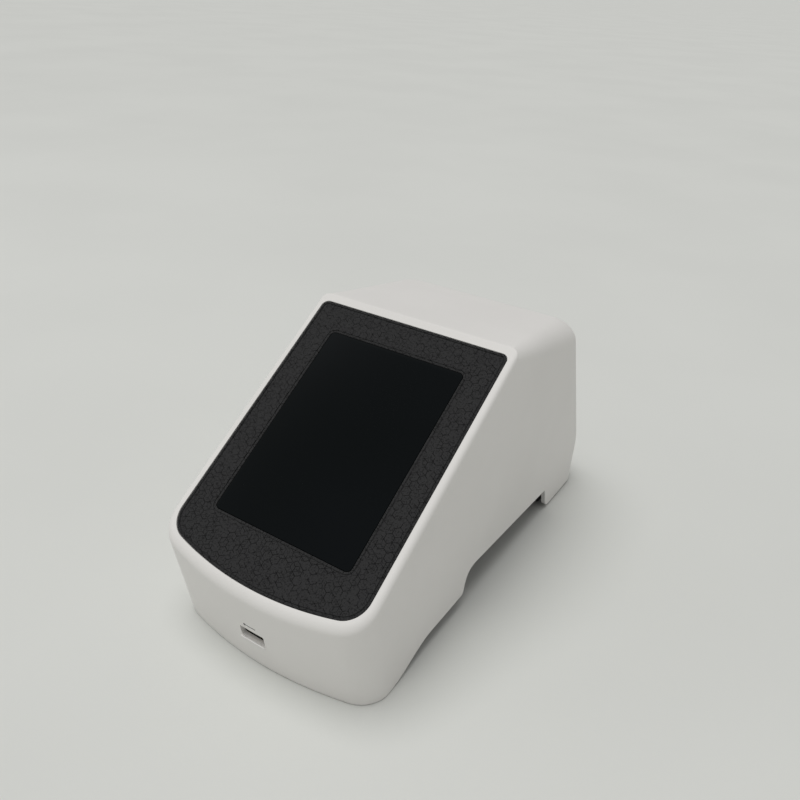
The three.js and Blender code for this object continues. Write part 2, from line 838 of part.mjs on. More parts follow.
const powerFrame = new THREE.Group();
powerFrame.position.set(0, powerBoardY, 0);
assembly.add(powerFrame);
add('power_board', powerBoard(), finish.board, powerFrame).position.z = powerBoardZ;

const spacerHeight = powerBoardZ - trayFloor - trayWall - 2 * fitGap;
for (const [end, sideY] of [['front', -1], ['rear', 1]]) {
  for (const [side, sideX] of [['left', -1], ['right', 1]]) {
    const spacer = rod(spacerRadius, 0, spacerHeight, 0, 0, 6);
    const mesh = add(`board_spacer_${end}_${side}`, spacer, finish.brass, powerFrame);
    mesh.position.set(sideX * spacerX, sideY * spacerY, trayFloor + trayWall + fitGap);
  }
}

// An EE core with its wound bobbin on the middle limb
const coreWidth = 42;
const coreDepth = 15;
const coreHeight = 42;
const limb = 7;
const windingBulge = 14;
const windingCorner = 6;

// Places on the power board, from its middle
const transformerPlace = [-18, -20];
const heatSinkPlace = [32, 6];
const capacitorPlaces = { left: [-30, 24], right: [-4, 24] };

function transformerCore() {
  const block = solid(box(coreWidth, coreDepth, coreHeight));
  const windowWidth = (coreWidth - 4 * limb) / 2;
  const windows = [-1, 1].map((side) => (
    box(windowWidth, coreDepth + cutBelow, coreHeight - 2 * limb, side * (limb + windowWidth / 2), 0, limb)
  ));
  return cut(block, ...windows);
}

function transformerWinding() {
  const height = coreHeight - 2 * limb - 2 * fitGap;
  const outside = coreWidth - 2 * limb - 2 * fitGap;
  const coil = solid(roundedPlate(outside, coreDepth + windingBulge, windingCorner, 0, height));
  const limbHole = box(
    2 * limb + 2 * fitGap, coreDepth + 2 * fitGap, height + 2 * cutAbove, 0, 0, -cutAbove,
  );
  return cut(coil, limbHole);
}

add('transformer_core', transformerCore(), finish.ferrite, powerFrame)
  .position.set(...transformerPlace, deckZ);
add('transformer_winding', transformerWinding(), finish.winding, powerFrame)
  .position.set(...transformerPlace, deckZ + limb + fitGap);

const sink = { length: 70, height: 30, spine: 3, finCount: 7, fin: 1.4, finReach: 14, pitch: 4 };

function heatSink() {
  const spine = solid(box(sink.spine, sink.length, sink.height, -sink.finReach / 2));
  const fins = Array.from({ length: sink.finCount }, (_, i) => (
    box(sink.finReach, sink.length, sink.fin, 0, 0, sink.spine / 2 + i * sink.pitch)
  ));
  return join(spine, ...fins);
}

add('heat_sink', heatSink(), finish.aluminium, powerFrame).position.set(...heatSinkPlace, deckZ);

const can = { radius: 11, height: 30, base: 0.5, shoulder: 2, rim: 2.5, dish: 0.6 };

function capacitor() {
  const { radius, height, base, shoulder, rim, dish } = can;
  return turned([
    [0, 0],
    [radius - base, 0],
    [radius, base],
    [radius, height - shoulder],
    [radius - 1, height],
    [radius - rim, height - dish],
    [0, height - dish],
  ]);
}

for (const [side, place] of Object.entries(capacitorPlaces)) {
  add(`capacitor_${side}`, capacitor(), finish.can, powerFrame).position.set(...place, deckZ);
}

// --- Rear panel ----------------------------------------------------------------------------

const fanWall = 1.5;
const fanBore = fanSize / 2 - fanWall;
const through = 20;
const panelScrewX = rearPanelWidth / 2 - screwInset;
const panelScrewY = rearPanelHeight / 2 - screwInset;

// The panel lies behind the opening, trimmed to the inside of the cover.
function rearPanel() {
  const width = rearPanelWidth + 2 * panelFlange;
  const height = rearPanelHeight + 2 * panelFlange;
  const sheet = solid(roundedPlate(width, height, panelCorner, panelFace - panelThickness, panelFace));
  const openings = [
    rod(fanBore, -through, through, ...fanPlace, 32),
    roundedPlate(inletWidth, inletHeight, 1, -through, through, ...inletPlace),
    roundedPlate(switchWidth, switchHeight, 1, -through, through, ...switchPlace),
  ];
  for (const row of Object.values(socketRows)) {
    for (const x of socketColumns) openings.push(rod(socketHole, -through, through, x, row, 20));
  }
  for (const [x, y] of [[-1, -1], [1, -1], [1, 1], [-1, 1]]) {
    openings.push(rod(screwShank + fitGap, -through, through, x * panelScrewX, y * panelScrewY, 12));
  }
  const inside = caseTower(wall + fitGap, toeGap).applyMatrix4(rearFrame.matrixWorld.clone().invert());
  return cut(sheet.intersect(solid(inside)), ...openings);
}

add('rear_panel', rearPanel(), finish.panel, rearFrame);

for (const [row, sideY] of [['lower', -1], ['upper', 1]]) {
  for (const [side, sideX] of [['left', -1], ['right', 1]]) {
    const screw = add(`panel_screw_${row}_${side}`, panScrew(panelScrewLength), finish.steel, rearFrame);
    screw.rotation.x = Math.PI;
    screw.position.set(sideX * panelScrewX, sideY * panelScrewY, panelFace + fitGap);
  }
}

// A shrouded 4 mm safety socket: a flanged sleeve with a deep round recess
const sleeveDepth = 18;
const tagLength = 6;
const tagRadius = 2.2;
const recessRadius = 4.1;
const recessDepth = 14;
const socketPinRadius = 2;
const socketPinSink = 1;
const flangeHeight = 2.4;
const flangeEdge = 0.7;

function outputSocket() {
  const sleeve = socketHole - fitGap;
  const face = panelFace + fitGap;
  const top = face + flangeHeight;
  const base = face - sleeveDepth;
  const profile = [
    [0, base - tagLength], [tagRadius, base - tagLength], [tagRadius, base], [sleeve, base],
    [sleeve, face], [socketFlange, face], [socketFlange, top - flangeEdge],
    [socketFlange - flangeEdge, top], [0, top],
  ];
  const body = solid(turned(profile, 16));
  const recess = rod(recessRadius, face - recessDepth, top + through, 0, 0, 16);
  const pin = rod(socketPinRadius, base - tagLength / 2, face - socketPinSink, 0, 0, 8);
  return join(cut(body, recess), pin);
}

for (const [colour, y] of Object.entries(socketRows)) {
  socketColumns.forEach((x, column) => {
    const look = colour === 'red' ? finish.redPlastic : finish.blackPlastic;
    const socket = add(`output_socket_${colour}_${column + 1}`, outputSocket(), look, rearFrame);
    socket.position.set(x, y, 0);
  });
}

// Fan
const fanBack = panelFace - panelThickness - fitGap;
const fanFloorZ = fanBack - fanDepth;
const fanHub = 9;
const fanTipGap = 1.1;
const fanCorner = 3;
const fanBladeTip = fanBore - fanTipGap;
const spiderThickness = 1.5;
const spiderArm = 3;
const bladeChord = 9;
const bladeThickness = 1;
const bladePitch = 0.62;
const bladeCount = 7;

function fanFrame() {
  const block = solid(roundedPlate(fanSize, fanSize, fanCorner, fanFloorZ, fanBack));
  const bore = rod(fanBore, fanFloorZ - through, fanBack + through, 0, 0, 32);
  const hub = solid(rod(fanHub, fanFloorZ, fanFloorZ + spiderThickness, 0, 0, 20));
  const arms = [1, 3].map((eighth) => (
    box(fanSize - 2, spiderArm, spiderThickness, 0, 0, fanFloorZ).rotateZ(eighth * Math.PI / 4)
  ));
  return cut(block, bore).add(join(hub, ...arms));
}

function fanRotor() {
  const bottom = fanFloorZ + spiderThickness + fitGap;
  const top = fanBack - 2 * fitGap;
  const root = fanHub - 1;
  const hub = solid(rod(fanHub, bottom, top, 0, 0, 24));
  const blades = Array.from({ length: bladeCount }, (_, i) => {
    const blade = new THREE.BoxGeometry(fanBladeTip - root, bladeChord, bladeThickness);
    blade.rotateX(bladePitch).translate((root + fanBladeTip) / 2, 0, (bottom + top) / 2);
    return blade.rotateZ(i * 2 * Math.PI / bladeCount);
  });
  return join(hub, ...blades);
}

add('fan_frame', fanFrame(), finish.blackPlastic, rearFrame).position.set(...fanPlace, 0);
add('fan_rotor', fanRotor(), finish.blackPlastic, rearFrame).position.set(...fanPlace, 0);

// Finger guard: rings and a cross of wire in front of the panel
const guardWire = 0.7;
const guardPitch = 4;
const guardRings = 4;
const guardInset = 2.5;

function fanGuard() {
  const z = panelFace + fitGap + guardWire;
  const rings = Array.from({ length: guardRings }, (_, i) => {
    const radius = fanSize / 2 - guardInset - i * guardPitch;
    return new THREE.TorusGeometry(radius, guardWire, 5, 20).translate(0, 0, z);
  });
  const spokes = [1, 3].map((eighth) => {
    const spoke = new THREE.CylinderGeometry(guardWire, guardWire, fanSize, 5);
    return spoke.rotateZ(eighth * Math.PI / 4).translate(0, 0, z);
  });
  return join(solid(spokes[0]), spokes[1], ...rings);
}

add('fan_guard', fanGuard(), finish.steel, rearFrame).position.set(...fanPlace, 0);

// Mains inlet with a fuse drawer under its socket
const inletDepth = 22;
const inletFlange = 1.8;
const inletCorner = 2;
const inletCavity = { width: 24.2, height: 16.6, depth: 15, y: 4.5, corner: 5 };
const drawerHeight = 6.4;
const drawerWidth = 21;
const drawerDepth = 17;
const drawerY = -10.4;
const inletFace = panelFace + fitGap;
const inletMouth = inletFace + inletFlange;

function inletBody() {
  const body = solid(roundedPlate(
    inletWidth - 2 * fitGap, inletHeight - 2 * fitGap, 1, inletFace - inletDepth, inletFace,
  ));
  const flange = roundedPlate(inletOutside, inletHeight + 2 * inletLip, inletCorner, inletFace, inletMouth);
  const { width, height, depth, y, corner } = inletCavity;
  const hollow = new THREE.Shape([
    new THREE.Vector2(-width / 2, y - height / 2),
    new THREE.Vector2(width / 2, y - height / 2),
    new THREE.Vector2(width / 2, y + height / 2 - corner),
    new THREE.Vector2(width / 2 - corner, y + height / 2),
    new THREE.Vector2(-width / 2 + corner, y + height / 2),
    new THREE.Vector2(-width / 2, y + height / 2 - corner),
  ]);
  const drawerHole = box(
    drawerWidth + 2 * fitGap, drawerHeight + 2 * fitGap, drawerDepth + through, 0, drawerY,
    inletMouth - drawerDepth - fitGap,
  );
  return cut(join(body, flange), plate(hollow, inletMouth - depth, inletMouth + through), drawerHole);
}

add('inlet_body', inletBody(), finish.blackPlastic, rearFrame).position.set(...inletPlace, 0);

const pinPlaces = { line: [-7, 2], earth: [0, 6.5], neutral: [7, 2] };
const inletPin = { width: 2, height: 4, sink: 5 };
for (const [name, [x, y]] of Object.entries(pinPlaces)) {
  const floor = inletMouth - inletCavity.depth + fitGap;
  const blade = box(inletPin.width, inletPin.height, inletCavity.depth - inletPin.sink, 0, 0, floor);
  const pin = add(`inlet_pin_${name}`, blade, finish.steel, rearFrame);
  pin.position.set(inletPlace[0] + x, inletPlace[1] + y, 0);
}

// The drawer is an open cradle with a finger lip, and it carries one glass fuse.
const fuseRadius = 2.5;
const fuseLength = 13;
const drawerWall = 1.5;
const drawerFloor = 1;
const drawerLip = { inset: 3, height: 2.2, depth: 1.2 };

function fuseDrawer() {
  const back = inletMouth - drawerDepth;
  const block = box(drawerWidth, drawerHeight, drawerDepth, 0, 0, back);
  const lipY = (drawerLip.height - drawerHeight) / 2;
  const lip = box(drawerWidth - 2 * drawerLip.inset, drawerLip.height, drawerLip.depth, 0, lipY, inletMouth);
  const hollowWidth = drawerWidth - 2 * drawerWall;
  const hollowDepth = drawerDepth - 2 * drawerWall;
  const cradle = box(hollowWidth, drawerHeight, hollowDepth, 0, drawerFloor, back + drawerWall);
  return cut(join(solid(block), lip), cradle);
}

const drawerFrame = new THREE.Group();
drawerFrame.position.set(inletPlace[0], inletPlace[1] + drawerY, 0);
rearFrame.add(drawerFrame);
add('fuse_drawer', fuseDrawer(), finish.blackPlastic, drawerFrame);
const fuseRod = rod(fuseRadius, -fuseLength / 2, fuseLength / 2, 0, 0, 14);
const fuse = add('fuse', fuseRod, finish.brass, drawerFrame);
fuse.rotation.y = Math.PI / 2;
fuse.position.set(0, drawerFloor + fuseRadius + fitGap - drawerHeight / 2, inletMouth - drawerDepth / 2);

// Mains switch: a housing with a rocker that tips on a cross pin
const switchFace = panelFace + fitGap;
const switchDepth = 14;
const rockerWidth = 13;
const rockerHeight = 20.5;
const pivotDepth = 1.5;
const rockerPivot = switchFace - pivotDepth;
const rockerTilt = THREE.MathUtils.degToRad(9);
const wellFloor = 2;
const wellRoom = 3;

function switchHousing() {
  const body = solid(roundedPlate(
    switchWidth - 2 * fitGap, switchHeight - 2 * fitGap, 1, switchFace - switchDepth, switchFace,
  ));
  const flange = roundedPlate(
    switchWidth + 2 * switchLip, switchHeight + 2 * switchLip, 1.5, switchFace, switchFace + inletFlange,
  );
  const well = box(
    rockerWidth + 2 * fitGap, rockerHeight + wellRoom, switchDepth + through, 0, 0,
    switchFace - switchDepth + wellFloor,
  );
  return cut(join(body, flange), well);
}

// The rocker's top is a shallow V over a keel, and it rests with one end pressed in.
const rockerTop = { end: 4.4, quarter: 3.1, middle: 2.6 };
const rockerKeel = { half: 2.6, depth: 5.5, shoulder: 1.6 };

function switchRocker() {
  const reach = rockerHeight / 2;
  const outline = [
    [-reach, -rockerKeel.shoulder],
    [-rockerKeel.half, -rockerKeel.depth],
    [rockerKeel.half, -rockerKeel.depth],
    [reach, -rockerKeel.shoulder],
    [reach, rockerTop.end],
    [reach / 2, rockerTop.quarter],
    [0, rockerTop.middle],
    [-reach / 2, rockerTop.quarter],
    [-reach, rockerTop.end],
  ];
  return acrossCase(outline, rockerWidth, 0.5);
}

add('switch_housing', switchHousing(), finish.blackPlastic, rearFrame).position.set(...switchPlace, 0);
const rocker = add('switch_rocker', switchRocker(), finish.redPlastic, rearFrame);
rocker.position.set(...switchPlace, rockerPivot);
rocker.rotation.x = -rockerTilt;

export default assembly;
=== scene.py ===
import json
import math

import bmesh
import bpy
from mathutils import Matrix, Vector
from mathutils.geometry import interpolate_bezier

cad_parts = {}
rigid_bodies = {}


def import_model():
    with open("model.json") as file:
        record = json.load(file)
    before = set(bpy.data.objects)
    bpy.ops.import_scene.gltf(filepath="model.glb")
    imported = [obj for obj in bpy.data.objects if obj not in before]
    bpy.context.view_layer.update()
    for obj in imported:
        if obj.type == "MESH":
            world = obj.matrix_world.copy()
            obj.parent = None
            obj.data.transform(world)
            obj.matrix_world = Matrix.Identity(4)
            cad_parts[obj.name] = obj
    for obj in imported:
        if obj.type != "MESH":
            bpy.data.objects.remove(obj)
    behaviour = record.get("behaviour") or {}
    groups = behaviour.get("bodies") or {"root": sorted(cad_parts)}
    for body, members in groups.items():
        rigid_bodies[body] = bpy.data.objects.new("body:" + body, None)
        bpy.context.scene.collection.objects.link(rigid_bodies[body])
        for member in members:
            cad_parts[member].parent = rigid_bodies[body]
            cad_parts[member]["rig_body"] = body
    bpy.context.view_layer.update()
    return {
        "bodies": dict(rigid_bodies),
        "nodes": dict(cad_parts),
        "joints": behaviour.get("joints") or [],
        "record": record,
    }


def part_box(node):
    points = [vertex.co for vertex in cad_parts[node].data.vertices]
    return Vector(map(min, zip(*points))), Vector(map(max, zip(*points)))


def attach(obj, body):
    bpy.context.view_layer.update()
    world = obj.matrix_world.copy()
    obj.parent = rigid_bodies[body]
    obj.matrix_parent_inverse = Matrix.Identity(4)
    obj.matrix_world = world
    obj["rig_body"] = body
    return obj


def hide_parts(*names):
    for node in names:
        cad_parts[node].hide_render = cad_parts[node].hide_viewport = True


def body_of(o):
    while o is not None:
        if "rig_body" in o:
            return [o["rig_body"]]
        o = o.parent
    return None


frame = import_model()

nodes = frame["nodes"]
scene = bpy.context.scene
mm = 0.001
mergeGap = 0.001 * mm
faceAngle = math.radians(33.1)  # slope of the display face


# ---- shader maths ----

class Wire:  # one output socket that takes part in sums

    def __init__(self, look, socket):
        self.look = look
        self.socket = socket

    def sum(self, operation, *values):
        return self.look.node("ShaderNodeMath", {"operation": operation}, dict(enumerate(values)))

    def __add__(self, other):
        return self.sum("ADD", self, other)

    def __radd__(self, other):
        return self.sum("ADD", other, self)

    def __sub__(self, other):
        return self.sum("SUBTRACT", self, other)

    def __rsub__(self, other):
        return self.sum("SUBTRACT", other, self)

    def __mul__(self, other):
        return self.sum("MULTIPLY", self, other)

    def __rmul__(self, other):
        return self.sum("MULTIPLY", other, self)

    def __truediv__(self, other):
        return self.sum("DIVIDE", self, other)

    def __abs__(self):
        return self.sum("ABSOLUTE", self)

    def __lt__(self, other):
        return self.sum("LESS_THAN", self, other)

    def __gt__(self, other):
        return self.sum("GREATER_THAN", self, other)

    def wrap(self, period):  # -period/2 .. period/2
        return self.sum("WRAP", self, period / 2, -period / 2)

    def least(self, other):
        return self.sum("MINIMUM", self, other)

    def most(self, other):
        return self.sum("MAXIMUM", self, other)

    def band(self, low, high):  # 0 below low, 1 above high
        return self.look.node(
            "ShaderNodeMapRange", {"interpolation_type": "SMOOTHSTEP"}, {0: self, 1: low, 2: high}
        )


class Look:  # a material under construction

    def __init__(self, name, **constants):
        self.material = bpy.data.materials.new(name)
        self.material.use_nodes = True
        self.tree = self.material.node_tree
        self.shader = self.tree.nodes["Principled BSDF"]
        for socket, value in constants.items():
            self.shader.inputs[socket.replace("_", " ")].default_value = value

    def node(self, kind, settings=None, values=None, output=0):
        made = self.tree.nodes.new(kind)
        for key, value in (settings or {}).items():
            setattr(made, key, value)
        for key, value in (values or {}).items():
            if isinstance(value, Wire):
                self.tree.links.new(value.socket, made.inputs[key])
            else:
                made.inputs[key].default_value = value
        return Wire(self, made.outputs[output])

    def place(self, turn=(0, 0, 0)):  # object coordinates, turned if a pattern lies on a slope
        where = self.node("ShaderNodeTexCoord", output="Object")
        if any(turn):
            return self.node("ShaderNodeMapping", {"vector_type": "POINT"}, {0: where, 2: turn})
        return where

    def noise(self, scale, detail=2.0, roughness=0.5, where=None, stretch=(1, 1, 1)):
        where = where or self.place()
        if stretch != (1, 1, 1):
            where = self.node("ShaderNodeMapping", None, {0: where, 3: stretch})
        return self.node(
            "ShaderNodeTexNoise", None,
            {"Vector": where, "Scale": scale, "Detail": detail, "Roughness": roughness},
        )

    def blendColour(self, share, first, second):
        return self.node("ShaderNodeMix", {"data_type": "RGBA"}, {0: share, 6: first, 7: second}, 2)

    def bump(self, height, distance, strength=1.0):
        return self.node(
            "ShaderNodeBump", None, {"Height": height, "Distance": distance, "Strength": strength}
        )

    def feed(self, socket, wire):
        self.tree.links.new(wire.socket, self.shader.inputs[socket])


def toned(colour, share):  # a colour made lighter or darker
    return tuple(min(1, c * share) for c in colour[:3]) + (1,)


# ---- materials ----

def moulded(name, colour, roughness=0.5, grain=2600, depth=0.00002, drift=0.06):
    look = Look(name, IOR=1.5)
    broad = look.noise(14, 3)
    fine = look.noise(grain, 2)
    dark = toned(colour, 1 - drift)
    light = toned(colour, 1 + drift)
    look.feed("Base Color", look.blendColour(broad.band(0.3, 0.7), dark, light))
    look.feed("Roughness", roughness - 0.05 + fine * 0.06 + broad * 0.05)
    look.feed("Normal", look.bump(fine, depth))
    return look.material


def coverPlastic():
    wear = {"lit": (0.83, 0.815, 0.79, 1), "dull": (0.79, 0.775, 0.75, 1), "dust": (0.72, 0.70, 0.66, 1)}
    look = Look("coverPlastic", IOR=1.5, Specular_IOR_Level=0.42)
    broad = look.noise(9, 4, 0.55)
    spark = look.noise(3400, 2, 0.6)
    swell = look.noise(160, 2)
    specks = look.noise(700, 1).band(0.74, 0.8)
    base = look.blendColour(broad.band(0.3, 0.7), wear["dull"], wear["lit"])
    look.feed("Base Color", look.blendColour(specks * 0.25, base, wear["dust"]))
    look.feed("Roughness", 0.36 + broad * 0.08 + spark * 0.08)
    look.feed("Normal", look.bump(spark + swell * 0.8, 0.000022, 0.7))
    return look.material


def bezelPrint(angle):
    # printed honeycomb: hexagon outlines, with three spokes in some of the cells
    pattern = {"cell": 4.85 * mm, "line": 0.21 * mm, "ground": (0.026, 0.026, 0.0265, 1),
               "ink": (0.002, 0.002, 0.0022, 1), "sheen": (0.040, 0.040, 0.041, 1)}
    look = Look("bezelPrint", IOR=1.48, Specular_IOR_Level=0.2)
    flat = look.place((-angle, 0, 0))
    across = look.node("ShaderNodeSeparateXYZ", None, {0: flat})
    up = Wire(look, across.socket.node.outputs[1])
    cell = pattern["cell"]
    line = pattern["line"]
    slope = math.sqrt(3)

    def cellOf(shiftX, shiftY):  # offset from the middle of the nearest cell of one sub-grid
        x = (across + shiftX).wrap(cell)
        y = (up + shiftY).wrap(cell * slope)
        edge = abs(x).most(abs(x) * 0.5 + abs(y) * (slope / 2))
        return x, y, edge

    firstX, firstY, firstEdge = cellOf(0, 0)
    secondX, secondY, secondEdge = cellOf(cell / 2, cell * slope / 2)
    inFirst = firstEdge < secondEdge
    x = firstX * inFirst + secondX * (1 - inFirst)
    y = firstY * inFirst + secondY * (1 - inFirst)
    outline = firstEdge.least(secondEdge).band(cell / 2 - line, cell / 2 - line * 0.4)
    upright = (1 - abs(x).band(line * 0.3, line * 0.6)) * (y > 0)
    slanted = (1 - abs(y + abs(x) / slope).band(line * 0.35, line * 0.7)) * (y < line)
    patchy = look.noise(330, 1, 0.5, flat).band(0.40, 0.52)
    some = look.noise(170, 1, 0.5, flat).band(0.46, 0.54)
    speckle = look.noise(1300, 1).band(0.54, 0.64)
    ink = (outline * (0.1 + patchy * 0.9)).most(upright.most(slanted) * some).most(speckle * 0.55)
    grain = look.noise(3000, 2)
    ground = look.blendColour(grain.band(0.3, 0.75), pattern["ground"], pattern["sheen"])
    look.feed("Base Color", look.blendColour(ink, ground, pattern["ink"]))
    look.feed("Roughness", 0.55 + grain * 0.12 - ink * 0.05)
    look.feed("Normal", look.bump(grain * 0.4 - ink, 0.00004, 0.8))
    return look.material


def bezelRimPlastic():
    return moulded("bezelRimPlastic", (0.058, 0.059, 0.060, 1), 0.5, 2200, 0.00001, 0.04)


def displayGlass():
    look = Look("displayGlass", IOR=1.5, Specular_IOR_Level=0.12)
    smear = look.noise(26, 4, 0.6)
    tint = look.noise(7, 2)
    look.feed("Base Color", look.blendColour(
        tint.band(0.3, 0.7), (0.0022, 0.0034, 0.0038, 1), (0.0034, 0.0046, 0.0056, 1)))
    look.feed("Roughness", 0.07 + smear.band(0.45, 0.75) * 0.10)
    look.feed("Normal", look.bump(look.noise(40, 1), 0.000004, 0.3))
    return look.material


def metal(name, colour, roughness=0.32, brushed=None, scratch=0.12):
    look = Look(name, Metallic=1.0)
    if brushed:
        lines = look.noise(brushed["scale"], 3, 0.6, None, brushed["stretch"])
    else:
        lines = look.noise(1500, 3, 0.6)
    broad = look.noise(60, 3)
    look.feed("Base Color", look.blendColour(broad.band(0.3, 0.75), toned(colour, 0.8), colour))
    look.feed("Roughness", roughness + lines * scratch + broad * 0.06)
    look.feed("Normal", look.bump(lines, 0.00001, 0.5))
    return look.material


def powderCoat(name, colour, roughness=0.55):
    look = Look(name, IOR=1.5)
    peel = look.noise(1100, 2, 0.55)
    pits = look.noise(2800, 1)
    broad = look.noise(18, 3)
    look.feed("Base Color", look.blendColour(broad.band(0.3, 0.7), toned(colour, 0.88), colour))
    look.feed("Roughness", roughness + peel * 0.12)
    look.feed("Normal", look.bump(peel + pits * 0.5, 0.00005, 0.8))
    return look.material


def rubber():
    return moulded("footRubber", (0.018, 0.018, 0.018, 1), 0.82, 1800, 0.00004, 0.15)


def laminate():
    look = Look("boardLaminate", IOR=1.5)
    weave = look.noise(1600, 1, 0.5, None, (1, 6, 1)) * look.noise(1600, 1, 0.5, None, (6, 1, 1))
    tracks = look.noise(210, 2).band(0.52, 0.56)
    colour = look.blendColour(tracks, (0.012, 0.085, 0.036, 1), (0.022, 0.13, 0.055, 1))
    look.feed("Base Color", colour)
    look.feed("Roughness", 0.35 + weave * 0.3)
    look.feed("Normal", look.bump(tracks + weave, 0.00003, 0.6))
    return look.material


def tapeWinding():
    look = Look("windingTape", IOR=1.5)
    turns = look.noise(900, 2, 0.5, None, (0.15, 0.15, 6))
    look.feed("Base Color", look.blendColour(
        turns.band(0.35, 0.65), (0.46, 0.27, 0.03, 1), (0.66, 0.44, 0.07, 1)))
    look.feed("Roughness", 0.28 + turns * 0.2)
    look.feed("Normal", look.bump(turns, 0.00008))
    return look.material


finishes = {
    "shell": coverPlastic(),
    "bezel": bezelPrint(faceAngle),
    "glass": displayGlass(),
    "foam": moulded("foamRing", (0.02, 0.02, 0.02, 1), 0.92, 900, 0.0002, 0.2),
    "aluminium": metal("brushedAluminium", (0.72, 0.73, 0.74, 1), 0.3,
                       {"scale": 700, "stretch": (14, 0.6, 14)}),
    "steel": metal("platedSteel", (0.66, 0.67, 0.68, 1), 0.26),
    "brass": metal("turnedBrass", (0.78, 0.6, 0.28, 1), 0.24),
    "board": laminate(),
    "black_plastic": moulded("blackMoulded", (0.014, 0.014, 0.015, 1), 0.45, 2400, 0.00002, 0.12),
    "red_plastic": moulded("redMoulded", (0.42, 0.012, 0.014, 1), 0.4, 2400, 0.00002, 0.08),
    "white_plastic": moulded("whiteMoulded", (0.72, 0.71, 0.68, 1), 0.5, 2400, 0.00002, 0.05),
    "panel": powderCoat("panelPaint", (0.52, 0.525, 0.53, 1)),
    "tray": powderCoat("trayPaint", (0.016, 0.016, 0.017, 1), 0.6),
    "rubber": rubber(),
    "winding": tapeWinding(),
    "ferrite": moulded("groundFerrite", (0.045, 0.045, 0.048, 1), 0.6, 900, 0.00005, 0.25),
    "capacitor": moulded("capacitorSleeve", (0.012, 0.03, 0.10, 1), 0.3, 1200, 0.00001, 0.1),
}
print("materials ready")

slotOf = {s["node"]: s["material_slot"] for s in frame["record"]["subparts"]}
for name, part in nodes.items():
    part.data.materials.clear()
    part.data.materials.append(finishes[slotOf[name]])


# ---- frames ----

case = {
    "length": 290 * mm,
    "halfWidth": 66.5 * mm,
    "wall": 2.8 * mm,
    "frontHeight": 56 * mm,
    "frontUndercut": math.radians(11.5),
    "frontBow": 215 * mm,
    "frontCorner": 17.5 * mm,
    "rearCorner": 17 * mm,
    "rearSkirt": 36 * mm,
    "rearSkirtLean": math.radians(3),
    "rearLean": math.radians(23.4),
    "rearBlend": 8 * mm,
    "roofTilt": math.radians(8.28),
    "crest": Vector((0, 4.91 * mm, 153.72 * mm)),
    "faceRun": 173.6 * mm,
    "toeGap": 0.6 * mm,
    "panelRise": 51 * mm,
    "hollowFloor": -10 * mm,
    "uncutTop": 190 * mm,
}
frontY = -case["length"] / 2
rearY = case["length"] / 2
faceTop = Vector((
    0,
    frontY + case["faceRun"] * math.cos(faceAngle),
    case["frontHeight"] + case["faceRun"] * math.sin(faceAngle),
))
faceFrame = Matrix.Translation(faceTop) @ Matrix.Rotation(faceAngle, 4, "X")


def rearBend(height):  # how far the rear wall lies behind its bend
    below = math.tan(case["rearSkirtLean"])
    above = -math.tan(case["rearLean"])
    rise = height - case["rearSkirt"]
    blend = case["rearBlend"]
    if rise < -blend:
        return below * rise
    if rise > blend:
        return above * rise
    along = (rise + blend) / (2 * blend)
    return below * rise + (above - below) * blend * along ** 2


bendHeights = [case["rearSkirt"] + case["rearBlend"] * step / 2 for step in range(-2, 3)]
rearWallY = rearY - max(rearBend(height) for height in bendHeights)


def rearAt(height):
    return rearWallY + rearBend(height)


def frontAt(height):
    return frontY + (case["frontHeight"] - height) * math.tan(case["frontUndercut"])


sinLean = math.sin(case["rearLean"])
cosLean = math.cos(case["rearLean"])
rearFrame = Matrix((
    (-1, 0, 0, 0),
    (0, -sinLean, cosLean, rearWallY - case["panelRise"] * math.tan(case["rearLean"])),
    (0, cosLean, sinLean, case["rearSkirt"] + case["panelRise"]),
    (0, 0, 0, 1),
))


# ---- mesh helpers ----

def smoothShading(bm, angle=30):  # shades smooth, with edges sharper than the angle kept sharp
    for face in bm.faces:
        face.smooth = True
    for edge in bm.edges:
        edge.smooth = len(edge.link_faces) == 2 and edge.calc_face_angle(0) < math.radians(angle)


def toObject(bm, name, material=None, angle=30):
    bmesh.ops.recalc_face_normals(bm, faces=bm.faces)
    smoothShading(bm, angle)
    mesh = bpy.data.meshes.new(name)
    bm.to_mesh(mesh)
    bm.free()
    made = bpy.data.objects.new(name, mesh)
    scene.collection.objects.link(made)
    if material:
        mesh.materials.append(material)
    return made


def settle(obj):  # applies the modifiers
    graph = bpy.context.evaluated_depsgraph_get()
    graph.update()
    mesh = bpy.data.meshes.new_from_object(obj.evaluated_get(graph))
    obj.modifiers.clear()
    old = obj.data
    obj.data = mesh
    bpy.data.meshes.remove(old)
    return obj


def carve(obj, cutter, operation="DIFFERENCE"):
    change = obj.modifiers.new("carve", "BOOLEAN")
    change.operation = operation
    change.solver = "EXACT"
    change.object = cutter
    settle(obj)
    bpy.data.objects.remove(cutter)
    return obj


def push(bm, faces, offset):  # extrudes faces and moves the new ones
    pushed = bmesh.ops.extrude_face_region(bm, geom=faces)
    moved = [v for v in pushed["geom"] if isinstance(v, bmesh.types.BMVert)]
    bmesh.ops.translate(bm, vec=offset, verts=moved)


def slab(width, height, radius, bottom, top, frame=Matrix.Identity(4), middle=(0, 0), steps=10):
    bm = bmesh.new()
    bmesh.ops.create_grid(bm, x_segments=1, y_segments=1, size=0.5)
    bmesh.ops.scale(bm, vec=(width, height, 1), verts=bm.verts)
    bmesh.ops.bevel(
        bm, geom=bm.verts[:], offset=radius, segments=steps, profile=0.5,
        affect="VERTICES", material=-1,
    )
    push(bm, bm.faces[:], (0, 0, top - bottom))
    bmesh.ops.translate(bm, vec=(middle[0], middle[1], bottom), verts=bm.verts)
    bmesh.ops.transform(bm, matrix=frame, verts=bm.verts)
    bmesh.ops.recalc_face_normals(bm, faces=bm.faces)
    return bm


